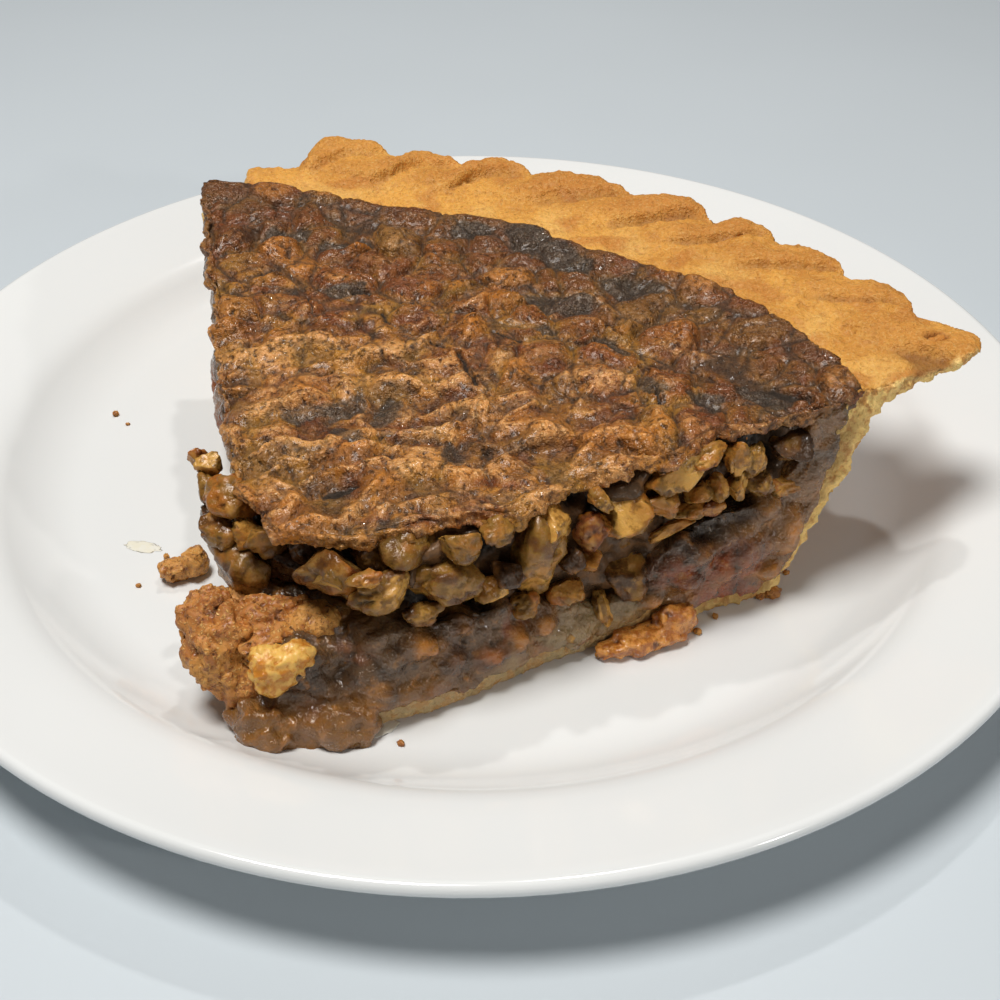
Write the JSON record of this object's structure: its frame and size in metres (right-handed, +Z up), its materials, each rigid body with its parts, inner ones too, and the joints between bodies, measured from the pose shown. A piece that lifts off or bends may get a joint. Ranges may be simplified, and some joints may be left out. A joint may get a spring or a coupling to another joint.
{
  "type": "slice of walnut pie on a plate",
  "caption": "Cut wedge of walnut pie with a crimped pastry rim, nut layer and dark custard, resting on a plain round rimmed plate with crumbs.",
  "frame": {"origin": "centre of the plate, at the level of the table it stands on", "axes": "+Z up out of the plate, -Y towards the viewer and the slice's point, +X to the right along the open cut"},
  "size_m": [0.23, 0.23, 0.0497],
  "materials": {
    "white_glaze": "glossy white glazed porcelain",
    "baked_pastry": "matte golden baked shortcrust",
    "dark_custard": "wet translucent dark brown jelly",
    "walnut": "syrup-coated chopped walnuts",
    "baked_top": "wrinkled baked sugar skin with small glints",
    "fallen_crust": "porous golden brown baked filling",
    "pale_walnut": "freshly broken pale walnut",
    "caramel": "sticky orange-brown caramel"
  },
  "bodies": {
    "root": {"plate": "white_glaze", "pastry": "baked_pastry", "custard": "dark_custard", "walnut_layer": "walnut", "top_crust": "baked_top", "fallen_tip": "fallen_crust", "fallen_walnut": "pale_walnut", "caramel_flake": "caramel", "left_crumb": "fallen_crust"}
  },
  "joints": []
}
